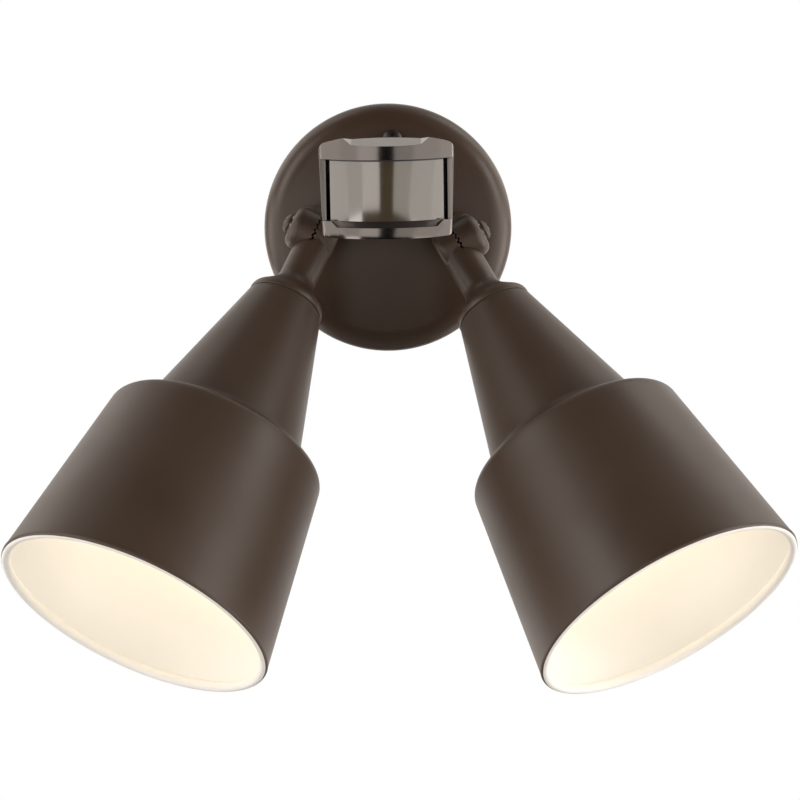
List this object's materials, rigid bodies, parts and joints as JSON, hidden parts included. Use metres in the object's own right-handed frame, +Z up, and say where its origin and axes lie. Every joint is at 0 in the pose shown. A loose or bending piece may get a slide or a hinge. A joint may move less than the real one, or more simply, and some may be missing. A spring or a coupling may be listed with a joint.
{
  "type": "motion sensor security light",
  "caption": "Wall light with a round domed canopy, two bell-shaped shades on toothed knuckles and a swivelling motion sensor head with a curved dark window.",
  "frame": {"origin": "centre of the canopy on the wall plane", "axes": "+Z up the wall, +X to the right of someone facing the light, the light stands out from the wall toward -Y"},
  "size_m": [0.374, 0.2139, 0.2891],
  "materials": {
    "bronze_paint": "satin dark bronze powder coat",
    "shade_paint": "satin dark bronze outside, warm white inside",
    "foam": "closed-cell foam",
    "zinc_steel": "zinc plated",
    "green_screw": "green passivated",
    "rubber": "matt black",
    "porcelain": "glazed ceramic",
    "brass": "plain",
    "aluminium": "plain",
    "lamp_plastic": "white",
    "opal": "opal",
    "sensor_shell": "gunmetal gloss",
    "sensor_window": "dark tinted gloss",
    "board": "green solder mask",
    "detector_can": "plated can",
    "black_part": "matt",
    "cell": "clear resin",
    "knob": "light grey"
  },
  "bodies": {
    "base": {"canopy": "bronze_paint", "canopy_gasket": "foam", "canopy_screw": "bronze_paint", "mounting_strap": "zinc_steel", "ground_screw": "green_screw", "left_boss_washer": "rubber", "right_boss_washer": "rubber", "sensor_boss_washer": "rubber"},
    "left_fitting": {"left_knuckle_base": "bronze_paint", "left_locknut": "zinc_steel", "left_knuckle_screw": "bronze_paint", "left_lock_washer": "zinc_steel"},
    "left_head": {"left_arm": "bronze_paint", "left_neck_gasket": "rubber", "left_shade": "shade_paint", "left_socket_body": "porcelain", "left_screw_shell": "aluminium", "left_centre_contact": "brass", "left_socket_screws": "zinc_steel", "left_lamp_cap": "aluminium", "left_lamp_body": "lamp_plastic", "left_lamp_globe": "opal"},
    "right_fitting": {"right_knuckle_base": "bronze_paint", "right_locknut": "zinc_steel", "right_knuckle_screw": "bronze_paint", "right_lock_washer": "zinc_steel"},
    "right_head": {"right_arm": "bronze_paint", "right_neck_gasket": "rubber", "right_shade": "shade_paint", "right_socket_body": "porcelain", "right_screw_shell": "aluminium", "right_centre_contact": "brass", "right_socket_screws": "zinc_steel", "right_lamp_cap": "aluminium", "right_lamp_body": "lamp_plastic", "right_lamp_globe": "opal"},
    "sensor_fitting": {"sensor_neck": "bronze_paint", "sensor_locknut": "zinc_steel"},
    "sensor_head": {"sensor_housing": "sensor_shell", "sensor_cover": "sensor_shell", "sensor_cover_screws": "zinc_steel", "sensor_lens": "sensor_window", "lens_gasket": "rubber", "sensor_clamp_screw": "zinc_steel", "sensor_clamp_nut": "zinc_steel", "circuit_board": "board", "pir_detector": "detector_can", "photocell": "cell", "relay": "black_part", "capacitor": "black_part", "dial_trimmers": "black_part"},
    "time_dial": {"time_dial": "knob"},
    "range_dial": {"range_dial": "knob"}
  },
  "joints": [
    {"name": "left_swivel", "type": "hinge", "parent": "base", "child": "left_fitting", "pos_m": [-0.037, -0.02, -0.0011], "axis": [0, 1, 0], "range_deg": [-20, 80]},
    {"name": "left_tilt", "type": "hinge", "parent": "left_fitting", "child": "left_head", "pos_m": [-0.03437, -0.04, -0.00609], "axis": [-0.9236, 0, 0.3833], "range_deg": [-12, 20]},
    {"name": "right_swivel", "type": "hinge", "parent": "base", "child": "right_fitting", "pos_m": [0.037, -0.02, -0.0011], "axis": [0, 1, 0], "range_deg": [-80, 15]},
    {"name": "right_tilt", "type": "hinge", "parent": "right_fitting", "child": "right_head", "pos_m": [0.03478, -0.04, -0.00686], "axis": [-0.8353, 0, -0.5498], "range_deg": [-12, 28]},
    {"name": "sensor_swivel", "type": "hinge", "parent": "base", "child": "sensor_fitting", "pos_m": [0, -0.02, 0.006], "axis": [0, 1, 0], "range_deg": [-10, 10]},
    {"name": "sensor_tilt", "type": "hinge", "parent": "sensor_fitting", "child": "sensor_head", "pos_m": [0, -0.041, 0.006], "axis": [0.9978, 0, 0.0663], "range_deg": [-30, 8]},
    {"name": "time_dial_turn", "type": "hinge", "parent": "sensor_head", "child": "time_dial", "pos_m": [-0.01247, -0.06736, -0.00234], "axis": [-0.0659, -0.1045, 0.9923], "range_deg": [-135, 135]},
    {"name": "range_dial_turn", "type": "hinge", "parent": "sensor_head", "child": "range_dial", "pos_m": [0.01347, -0.06736, -0.00062], "axis": [-0.0659, -0.1045, 0.9923], "range_deg": [-135, 135]}
  ]
}
